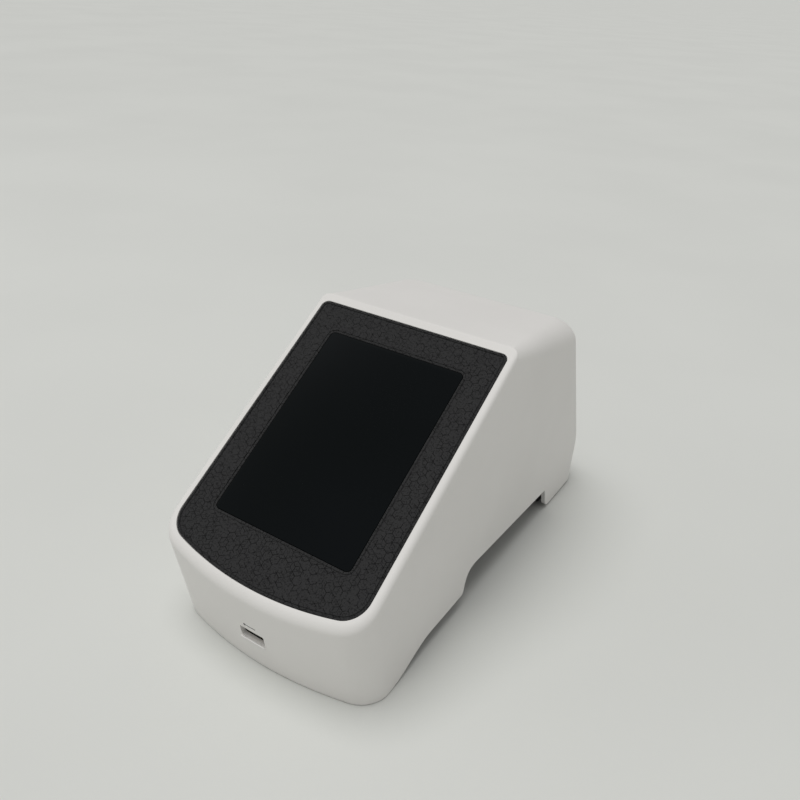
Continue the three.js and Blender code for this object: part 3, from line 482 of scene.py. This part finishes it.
def swing(bm, vert, centre, angle, steps):  # an arc in plan from a vertex, and its last vertex
    made = bmesh.ops.spin(
        bm, geom=[vert], cent=centre, axis=(0, 0, 1), angle=angle, steps=steps, use_duplicate=False,
    )
    return [v for v in made["geom_last"] if isinstance(v, bmesh.types.BMVert)][0]


def reachTo(bm, vert, place):
    made = bmesh.ops.extrude_vert_indiv(bm, verts=[vert])
    made["verts"][0].co = place
    return made["verts"][0]


def edgesWithin(bm, verts):
    return [e for e in bm.edges if e.verts[0] in verts and e.verts[1] in verts]


def bowedLoop(bm, front, rear, half, bow, frontRadius, rearRadius, z=0, bowSteps=24, cornerSteps=14):
    # bowed front, front corners that run into it, straight sides, rounded rear corners
    before = set(bm.verts)
    cornerX = half - frontRadius
    handover = math.asin(cornerX / (bow - frontRadius))
    cornerY = front + bow - math.sqrt((bow - frontRadius) ** 2 - cornerX ** 2)
    vert = bm.verts.new((0, front, z))
    vert = swing(bm, vert, (0, front + bow, z), handover, bowSteps)
    vert = swing(bm, vert, (cornerX, cornerY, z), math.pi / 2 - handover, cornerSteps)
    vert = reachTo(bm, vert, (half, rear - rearRadius, z))
    vert = swing(bm, vert, (half - rearRadius, rear - rearRadius, z), math.pi / 2, cornerSteps)
    reachTo(bm, vert, (0, rear, z))
    right = [v for v in bm.verts if v not in before]
    rim = [e for e in bm.edges if e.verts[0] in right]
    bmesh.ops.mirror(bm, geom=right + rim, axis="X", merge_dist=mergeGap / 10)
    return edgesWithin(bm, set(bm.verts) - before)


def raiseLoop(bm, edges):  # extrudes a loop in place: its new edges and vertices
    made = bmesh.ops.extrude_edge_only(bm, edges=edges)["geom"]
    verts = set(g for g in made if isinstance(g, bmesh.types.BMVert))
    return edgesWithin(bm, verts), verts


def capEnds(bm):
    rim = [e for e in bm.edges if len(e.link_faces) == 1]
    bmesh.ops.holes_fill(bm, edges=rim, sides=0)


def sliceOff(bm, point, normal):
    bmesh.ops.bisect_plane(
        bm, geom=bm.verts[:] + bm.edges[:] + bm.faces[:], plane_co=point, plane_no=normal,
        clear_outer=True,
    )
    capEnds(bm)


# ---- cover ----

edges = {
    "face": 2.9 * mm,
    "front": 4.8 * mm,
    "crest": 1.0 * mm,
    "roofFront": 3.2 * mm,
    "roofRear": 17 * mm,
    "rearTop": 14.5 * mm,
    "least": 0.3 * mm,
    "frontReach": 30 * mm,
    "firstStation": 13 * mm,
    "stationStep": 8 * mm,
    "lastStation": 80 * mm,
    "sameWay": 0.999,
    "segments": 9,
}


def roofRounding(middle):  # grows towards the rear, up to the radius of the rear edge
    along = min(1, max(0, (middle.y - faceTop.y) / (rearY - faceTop.y)))
    side = edges["roofFront"] + (edges["roofRear"] - edges["roofFront"]) * math.sqrt(along)
    return min(side, edges["rearTop"])


def kindOf(face, outward, upward):  # which of the cover's surfaces a face belongs to
    if face.normal.dot(outward) > edges["sameWay"]:
        return "face"
    if face.normal.dot(upward) > edges["sameWay"]:
        return "roof"
    return "wall"


def edgeRadius(kinds, middle):  # 0 where an edge stays as it is
    if kinds == ["roof", "wall"]:
        return roofRounding(middle)
    if kinds == ["face", "roof"]:
        return edges["crest"]
    if kinds == ["face", "wall"]:
        along = min(1, max(0, (middle.y - frontY) / edges["frontReach"]))
        return edges["front"] + (edges["face"] - edges["front"]) * along
    return 0


def caseBody(name, inset):
    bm = bmesh.new()
    floor = case["toeGap"] if inset == 0 else case["hollowFloor"]
    loop = bowedLoop(
        bm, frontAt(floor) + inset, rearAt(floor) - inset, case["halfWidth"] - inset,
        case["frontBow"] - inset, case["frontCorner"] - inset, case["rearCorner"] - inset, floor,
    )
    height = floor
    for level in bendHeights + [case["uncutTop"]]:
        loop, verts = raiseLoop(bm, loop)
        for vert in verts:
            if vert.co.y < 0:
                vert.co.y += frontAt(level) - frontAt(height)
            else:
                vert.co.y += rearAt(level) - rearAt(height)
            vert.co.z = level
        height = level
    capEnds(bm)
    outward = Vector((0, -math.sin(faceAngle), math.cos(faceAngle)))
    sliceOff(bm, faceTop - outward * inset, outward)
    upward = Vector((0, math.sin(case["roofTilt"]), math.cos(case["roofTilt"])))
    sliceOff(bm, case["crest"] - upward * inset, upward)
    bmesh.ops.remove_doubles(bm, verts=bm.verts, dist=mergeGap)
    station = faceTop.y + edges["firstStation"]
    while station < edges["lastStation"]:  # cross edges that let the roof's rounding grow
        bmesh.ops.bisect_plane(
            bm, geom=bm.verts[:] + bm.edges[:] + bm.faces[:],
            plane_co=(0, station, 0), plane_no=(0, 1, 0),
        )
        station += edges["stationStep"]
    weights = bm.edges.layers.float.new("bevel_weight_edge")
    bmesh.ops.recalc_face_normals(bm, faces=bm.faces)
    for edge in bm.edges:
        kinds = sorted(kindOf(face, outward, upward) for face in edge.link_faces)
        if inset > 0 and kinds != ["roof", "wall"]:  # the inside keeps its other edges
            continue
        radius = edgeRadius(kinds, (edge.verts[0].co + edge.verts[1].co) / 2)
        if radius > 0:
            edge[weights] = max(edges["least"], radius - inset) / edges["roofRear"]
    body = toObject(bm, name)
    rounding = body.modifiers.new("rounding", "BEVEL")
    rounding.limit_method = "WEIGHT"
    rounding.width = edges["roofRear"]
    rounding.segments = edges["segments"]
    rounding.profile = 0.5
    rounding.use_clamp_overlap = False
    rounding.loop_slide = False
    return settle(body)


underside = {
    "toe": 34 * mm, "toePull": 16 * mm, "rise": 41 * mm, "edgePull": 14 * mm, "edge": 11 * mm,
    "grip": 112 * mm, "gripCorner": 3 * mm, "gripPull": 1 * mm, "arch": 26.5 * mm,
    "archRun": 12 * mm, "archPull": 4 * mm, "drop": 7 * mm, "heel": 64 * mm, "heelGap": 2 * mm,
    "heelStart": 4 * mm, "heelPull": 5.3 * mm, "heelPush": 8 * mm, "heelRun": 12 * mm,
    "heelTall": 6 * mm, "heelTuck": 2 * mm, "low": -20 * mm, "reach": 20 * mm,
}


def curved(start, pull, push, end, steps=10):  # a Bezier stretch of an outline
    points = [Vector((y, z, 0)) for y, z in (start, pull, push, end)]
    return [(p.x, p.y) for p in interpolate_bezier(*points, steps)]


def undersideCutter():
    # the lower edge: a toe that curves up, a low edge, a step into the grip, the arch and the heel
    toe = frontY + underside["toe"]
    edge = toe + underside["rise"]
    step = frontY + underside["grip"]
    heel = rearY - underside["heel"]
    behind = rearY + underside["reach"]
    gap = case["toeGap"]
    low = underside["edge"]
    arch = underside["arch"]
    corner = underside["gripCorner"]
    pull = underside["gripPull"]
    heelGap = underside["heelGap"]
    path = [(toe, underside["low"])]
    path += curved((toe, gap), (toe + underside["toePull"], gap),
                   (edge - underside["edgePull"], low), (edge, low))
    path += curved((step - corner, low), (step - pull, low), (step, low + pull),
                   (step, low + corner), 6)
    path += curved((step, low + corner), (step + pull, arch - underside["archPull"]),
                   (step + underside["archPull"], arch), (step + underside["archRun"], arch))[1:]
    path += [(heel, arch - underside["drop"])]
    path += curved((heel + underside["heelStart"], heelGap + underside["heelTall"]),
                   (heel + underside["heelPull"], heelGap + underside["heelTuck"]),
                   (heel + underside["heelPush"], heelGap),
                   (heel + underside["heelRun"], heelGap), 8)
    path += [(behind, heelGap), (behind, underside["low"])]
    bm = bmesh.new()
    left = -case["halfWidth"] - underside["reach"]
    outline = bm.faces.new([bm.verts.new((left, y, z)) for y, z in path])
    push(bm, [outline], (-2 * left, 0, 0))
    return toObject(bm, "undersideCutter")


bezel = {
    "width": 123.4 * mm, "length": 167.9 * mm, "bow": 202 * mm, "bottomCorner": 14.5 * mm,
    "topCorner": 4 * mm, "gap": 0.3 * mm, "thickness": 1 * mm,
    "screenWidth": 88 * mm, "screenLength": 120.9 * mm, "screenTop": 18.9 * mm,
    "screenCorner": 2.8 * mm, "leastCorner": 0.4 * mm, "glassTop": -0.4 * mm,
    "glassBottom": -2.2 * mm, "glassEdge": 0.18 * mm,
}
cuts = {
    "above": 5 * mm, "windowGrow": 1 * mm, "windowCorner": 2 * mm, "windowDepth": -10 * mm,
    "panelDepth": 6 * mm, "portDepth": 14 * mm, "smoothBelow": 24,
}
screenMiddle = -bezel["screenTop"] - bezel["screenLength"] / 2


def bezelLoop(bm, grow, z):
    return bowedLoop(
        bm, -bezel["length"] - grow, grow, bezel["width"] / 2 + grow, bezel["bow"] + grow,
        bezel["bottomCorner"] + grow, max(bezel["leastCorner"], bezel["topCorner"] + grow), z,
        bowSteps=20, cornerSteps=12,
    )


def pocketCutter():
    bm = bmesh.new()
    depth = bezel["thickness"] + 2 * bezel["gap"]
    bezelLoop(bm, bezel["gap"], -depth)
    bmesh.ops.holes_fill(bm, edges=bm.edges, sides=0)
    push(bm, bm.faces[:], (0, 0, depth + cuts["above"]))
    bmesh.ops.transform(bm, matrix=faceFrame, verts=bm.verts)
    return toObject(bm, "pocketCutter")


usb = {"height": 25 * mm, "width": 16 * mm, "tall": 7.6 * mm, "corner": 1 * mm}
panelOpening = {"width": 96 * mm, "height": 90 * mm, "corner": 5 * mm}


def portFrame(lean=0):
    middle = Matrix.Translation((0, frontAt(usb["height"]), usb["height"]))
    return middle @ Matrix.Rotation(math.pi / 2 + lean, 4, "X")


def buildCover():
    cover = caseBody("coverShell", 0)
    inner = caseBody("coverHollow", case["wall"])
    carve(cover, inner)
    carve(cover, undersideCutter())
    carve(cover, pocketCutter())
    window = slab(
        bezel["screenWidth"] + 2 * cuts["windowGrow"], bezel["screenLength"] + 2 * cuts["windowGrow"],
        cuts["windowCorner"], cuts["windowDepth"], cuts["above"], faceFrame, (0, screenMiddle),
    )
    carve(cover, toObject(window, "windowCutter"))
    rear = slab(
        panelOpening["width"], panelOpening["height"], panelOpening["corner"], -cuts["panelDepth"],
        cuts["panelDepth"], rearFrame,
    )
    carve(cover, toObject(rear, "rearCutter"))
    opening = slab(
        usb["width"], usb["tall"], usb["corner"], -cuts["portDepth"], cuts["portDepth"], portFrame(),
    )
    carve(cover, toObject(opening, "usbCutter"))
    bm = bmesh.new()
    bm.from_mesh(cover.data)
    bmesh.ops.remove_doubles(bm, verts=bm.verts, dist=mergeGap)
    smoothShading(bm, cuts["smoothBelow"])
    bm.to_mesh(cover.data)
    bm.free()
    cover.data.materials.clear()
    cover.data.materials.append(finishes["shell"])
    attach(cover, "case")
    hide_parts("upper_shell")
    print("cover", len(cover.data.polygons), "faces")


buildCover()


def soften(bm, width, segments=3, angle=40):  # rounds every edge sharper than the angle
    sharp = [
        e for e in bm.edges
        if len(e.link_faces) == 2 and abs(e.calc_face_angle(0)) > math.radians(angle)
    ]
    bmesh.ops.bevel(
        bm, geom=sharp, offset=width, segments=segments, profile=0.5, affect="EDGES", material=-1,
        clamp_overlap=True,
    )


def roundedLoop(bm, width, height, radius, z, middle=(0, 0), steps=8):
    known = set(bm.verts)
    bmesh.ops.create_grid(bm, x_segments=1, y_segments=1, size=0.5)
    corners = [v for v in bm.verts if v not in known]
    bmesh.ops.scale(bm, vec=(width, height, 1), verts=corners)
    bmesh.ops.bevel(
        bm, geom=corners, offset=radius, segments=steps, profile=0.5, affect="VERTICES", material=-1,
    )
    ring = [v for v in bm.verts if v not in known]
    bmesh.ops.translate(bm, vec=(middle[0], middle[1], z), verts=ring)
    inside = set(ring)
    bmesh.ops.delete(bm, geom=list({f for v in ring for f in v.link_faces}), context="FACES_ONLY")
    return [e for e in bm.edges if e.verts[0] in inside]


def place(obj, body, slotName, *replaced):
    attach(obj, body)
    if replaced:
        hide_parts(*replaced)
    return obj


# ---- bezel and glass ----

def ringOf(bm, loops):  # bridges the loops one after the other
    for low, high in zip(loops, loops[1:]):
        bmesh.ops.bridge_loops(bm, edges=low + high)


def screenLoop(bm, grow, z):
    return roundedLoop(
        bm, bezel["screenWidth"] + 2 * grow, bezel["screenLength"] + 2 * grow,
        bezel["screenCorner"] + grow, z,
        (0, screenMiddle),
    )


def grooveCutter(name, loopAt, near, far, bottom, above):
    cut = bmesh.new()
    section = [(near, above), (near, bottom), (far, bottom), (far, above)]
    loops = [loopAt(cut, grow, z) for grow, z in section]
    ringOf(cut, loops + [loops[0]])
    return toObject(cut, name)


def buildBezel():
    detail = {"edge": 0.35 * mm, "groove": 1.35 * mm, "grooveWidth": 0.55 * mm, "deep": 0.4 * mm,
              "hole": 0.3 * mm, "rim": 1.55 * mm, "rimGroove": 0.45 * mm, "rimDeep": 0.3 * mm,
              "lip": 0.2 * mm, "past": 1 * mm, "slack": 0.05 * mm}
    top = -bezel["gap"]
    bottom = top - bezel["thickness"]
    above = top + detail["past"]
    edge = detail["edge"]
    bm = bmesh.new()
    outline = [(0, bottom), (0, top - edge), (-edge * 0.1, top - edge * 0.6)]
    outline += [(-edge * 0.4, top - edge * 0.2), (-edge, top)]
    ringOf(bm, [bezelLoop(bm, grow, z) for grow, z in outline])
    capEnds(bm)
    made = toObject(bm, "bezelOverlay", finishes["bezel"])
    near = -detail["groove"]
    carve(made, grooveCutter(
        "grooveCutter", bezelLoop, near, near - detail["grooveWidth"], top - detail["deep"], above))
    near = detail["rim"]
    carve(made, grooveCutter(
        "rimCutter", screenLoop, near, near + detail["rimGroove"], top - detail["rimDeep"], above))
    cut = bmesh.new()
    hole = detail["hole"]
    section = [(hole, bottom - detail["past"]), (hole, top - detail["lip"])]
    section += [(hole + detail["lip"], top), (hole + detail["lip"], above)]
    ringOf(cut, [screenLoop(cut, grow, z) for grow, z in section])
    capEnds(cut)
    carve(made, toObject(cut, "screenCutter"))
    bm = bmesh.new()
    bm.from_mesh(made.data)
    reach = bezel["screenWidth"] / 2 + near + detail["slack"]
    climb = bezel["screenLength"] / 2 + near + detail["slack"]
    lowest = bottom + 2 * detail["slack"]
    highest = top - detail["rimDeep"] + detail["slack"] / 2
    for face in bm.faces:
        corners = [v.co for v in face.verts]
        if all(abs(c.x) < reach and abs(c.y - screenMiddle) < climb for c in corners):
            face.material_index = 1  # the rim
        elif all(lowest < c.z < highest for c in corners):
            face.material_index = 2  # the floor of a groove, in black: painted shade in the groove
    bmesh.ops.transform(bm, matrix=faceFrame, verts=bm.verts)
    smoothShading(bm, 30)
    bm.to_mesh(made.data)
    bm.free()
    made.data.materials.clear()
    made.data.materials.append(finishes["bezel"])
    made.data.materials.append(bezelRimPlastic())
    # the groove floors take this black plastic: painted shade in the grooves
    made.data.materials.append(finishes["black_plastic"])
    place(made, "case", "bezel", "bezel_overlay")
    glass = slab(
        bezel["screenWidth"], bezel["screenLength"], bezel["screenCorner"], bezel["glassBottom"],
        bezel["glassTop"], faceFrame, (0, screenMiddle),
    )
    soften(glass, bezel["glassEdge"], 2)
    place(toObject(glass, "touchGlass", finishes["glass"]), "case", "glass", "touch_glass")
    print("bezel and glass")


buildBezel()


# ---- front port ----

port = {
    "width": 15.9 * mm, "slope": 5.6 * mm, "thick": 0.6 * mm, "low": -3.7 * mm, "start": -0.1 * mm,
    "tilt": math.radians(44), "lipEdge": 0.15 * mm, "outerWidth": 13.1 * mm, "outerTall": 5.7 * mm,
    "outerCorner": 0.7 * mm, "innerCorner": 0.4 * mm, "sheet": 0.4 * mm, "mouth": -4.6 * mm,
    "back": -14.6 * mm, "past": 1 * mm,
}
contacts = {
    "count": 4, "pitch": 2.35 * mm, "width": 1.1 * mm, "length": 6 * mm, "tall": 0.9 * mm,
    "inset": 2.9 * mm, "rise": 0.35 * mm, "edge": 0.1 * mm,
}
mark = {
    "rise": 7.4 * mm, "sunk": -0.1 * mm, "proud": 0.03 * mm,
    "line": {"width": 6.4 * mm, "tall": 0.5 * mm, "corner": 0.2 * mm, "across": 0.4 * mm},
    "dot": {"width": 1.5 * mm, "tall": 1.5 * mm, "corner": 0.74 * mm, "across": -3.6 * mm},
}


def printMark(name, shape):
    printed = slab(
        shape["width"], shape["tall"], shape["corner"], mark["sunk"], mark["proud"],
        portFrame(case["frontUndercut"]), (shape["across"], mark["rise"]),
    )
    place(toObject(printed, name, finishes["black_plastic"]), "case", "black_plastic")


def buildPort():
    incline = Matrix.Translation((0, port["low"], port["start"])) @ Matrix.Rotation(
        -port["tilt"], 4, "X")
    ramp = bmesh.new()  # the sunk lower lip of the port
    bmesh.ops.create_cube(ramp, size=1)
    bmesh.ops.scale(ramp, vec=(port["width"], port["thick"], port["slope"]), verts=ramp.verts)
    bmesh.ops.translate(ramp, vec=(0, -port["thick"] / 2, -port["slope"] / 2), verts=ramp.verts)
    soften(ramp, port["lipEdge"], 2)
    bmesh.ops.transform(ramp, matrix=portFrame() @ incline, verts=ramp.verts)
    # whiter than the cover's plastic: a painted highlight on the lip's upward slope, though the lip is
    # really the cover's own plastic
    paintedHighlightPlastic = moulded("portLipPaintedHighlight", (0.93, 0.92, 0.90, 1), 0.35, 2400, 0.00001, 0.01)
    place(toObject(ramp, "portLip", paintedHighlightPlastic), "case", "shell")
    outer = slab(
        port["outerWidth"], port["outerTall"], port["outerCorner"], port["back"], port["mouth"],
        portFrame(),
    )
    sleeve = toObject(outer, "portSleeve", finishes["steel"])
    hollow = slab(
        port["outerWidth"] - 2 * port["sheet"], port["outerTall"] - 2 * port["sheet"],
        port["innerCorner"], port["back"] + port["sheet"], port["mouth"] + port["past"], portFrame(),
    )
    carve(sleeve, toObject(hollow, "sleeveCutter"))
    place(sleeve, "case", "steel", "usb_receptacle")
    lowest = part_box("usb_contact_block")[0]
    strips = bmesh.new()
    for index in range(contacts["count"]):
        made = bmesh.ops.create_cube(strips, size=1)["verts"]
        bmesh.ops.scale(
            strips, vec=(contacts["width"], contacts["length"], contacts["tall"]), verts=made,
        )
        across = (index - (contacts["count"] - 1) / 2) * contacts["pitch"]
        bmesh.ops.translate(
            strips, vec=(across, lowest.y + contacts["inset"], lowest.z + contacts["rise"]), verts=made,
        )
    soften(strips, contacts["edge"], 1)
    place(toObject(strips, "portContacts", finishes["brass"]), "case", "brass")
    printMark("portMarkLine", mark["line"])
    printMark("portMarkDot", mark["dot"])
    print("front port")


buildPort()


# ---- finer copies of CAD pieces ----

refined = {
    "small": {"nodes": ("panel_screw_", "base_screw_", "inlet_pin_", "usb_contact", "fuse_drawer",
                        "fan_rotor", "output_socket", "board_spacer", "control_pillar"),
              "width": 0.2 * mm},
    "middle": {"nodes": ("inlet_body", "switch_housing", "switch_rocker", "fan_frame", "rubber_foot",
                         "rear_panel"), "width": 0.35 * mm},
    "large": {"nodes": ("base_tray",), "width": 0.8 * mm},
}
refining = {"flat": math.radians(1), "segments": 2, "sharpAbove": 42, "smoothBelow": 32}


def refineNodes():
    count = 0
    for group in refined.values():
        for name, part in nodes.items():
            if not name.startswith(group["nodes"]):
                continue
            bm = bmesh.new()
            bm.from_mesh(part.data)
            bmesh.ops.remove_doubles(bm, verts=bm.verts, dist=mergeGap)
            bmesh.ops.dissolve_limit(
                bm, angle_limit=refining["flat"], verts=bm.verts, edges=bm.edges, delimit=set(),
            )
            soften(bm, group["width"], refining["segments"], refining["sharpAbove"])
            fineName = name.replace("_", "-") + "-fine"
            made = toObject(bm, fineName, finishes[slotOf[name]], refining["smoothBelow"])
            place(made, body_of(part)[0], slotOf[name], name)
            count += 1
    print("refined", count)


refineNodes()


# ---- floor, lights and camera ----

studio = {
    "floor": (0.72, 0.73, 0.70, 1),
    "reach": 60,
    "room": 0.35,
    "roomColour": (1, 0.995, 0.985, 1),
    "sun": {"from": (-0.11, -0.17, 0.98), "strength": 1.55, "spread": math.radians(44)},
    "side": {"place": (-1.3, -0.75, 0.55), "size": 0.9, "power": 1.5},
}


def hang(name, lamp, towards):  # a lamp that shines from a direction, unseen in reflections
    made = bpy.data.objects.new(name, lamp)
    made.rotation_euler = Vector(towards).to_track_quat("Z", "Y").to_euler()
    made.visible_glossy = False
    scene.collection.objects.link(made)
    return made


def buildStudio():
    bm = bmesh.new()
    bmesh.ops.create_grid(bm, x_segments=1, y_segments=1, size=studio["reach"])
    look = Look("paleFloor", IOR=1.45, Specular_IOR_Level=0.2)
    cloud = look.noise(3, 4)
    fibre = look.noise(900, 2)
    dull = toned(studio["floor"], 0.97)
    look.feed("Base Color", look.blendColour(cloud.band(0.3, 0.7), dull, studio["floor"]))
    look.feed("Roughness", 0.75 + fibre * 0.1)
    look.feed("Normal", look.bump(fibre, 0.00005, 0.5))
    toObject(bm, "floor", look.material)
    world = bpy.data.worlds.new("softRoom")
    world.use_nodes = True
    world.node_tree.nodes["Background"].inputs["Color"].default_value = studio["roomColour"]
    world.node_tree.nodes["Background"].inputs["Strength"].default_value = studio["room"]
    scene.world = world
    lamp = bpy.data.lights.new("softSun", "SUN")
    lamp.energy = studio["sun"]["strength"]
    lamp.angle = studio["sun"]["spread"]
    hang("softSun", lamp, studio["sun"]["from"])
    panel = bpy.data.lights.new("sidePanel", "AREA")
    panel.size = studio["side"]["size"]
    panel.energy = studio["side"]["power"]
    side = hang("sidePanel", panel, studio["side"]["place"])
    side.location = studio["side"]["place"]
    scene.view_settings.view_transform = "Standard"


view = {
    "place": (209.61 * mm, -348.97 * mm, 327.08 * mm),
    "azimuth": math.radians(31.54),
    "elevation": math.radians(28.87),
    "roll": math.radians(3.29),
    "lens": 35.015,
    "sensor": 36,
    "near": 10 * mm,
}


def buildCamera():
    lens = bpy.data.cameras.new("camera")
    lens.lens = view["lens"]
    lens.sensor_width = view["sensor"]
    lens.clip_start = view["near"]
    camera = bpy.data.objects.new("camera", lens)
    camera.matrix_world = (
        Matrix.Translation(view["place"])
        @ Matrix.Rotation(view["azimuth"], 4, "Z")
        @ Matrix.Rotation(math.pi / 2 - view["elevation"], 4, "X")
        @ Matrix.Rotation(view["roll"], 4, "Z")
    )
    scene.collection.objects.link(camera)
    scene.camera = camera


buildStudio()
buildCamera()
print("studio ready")
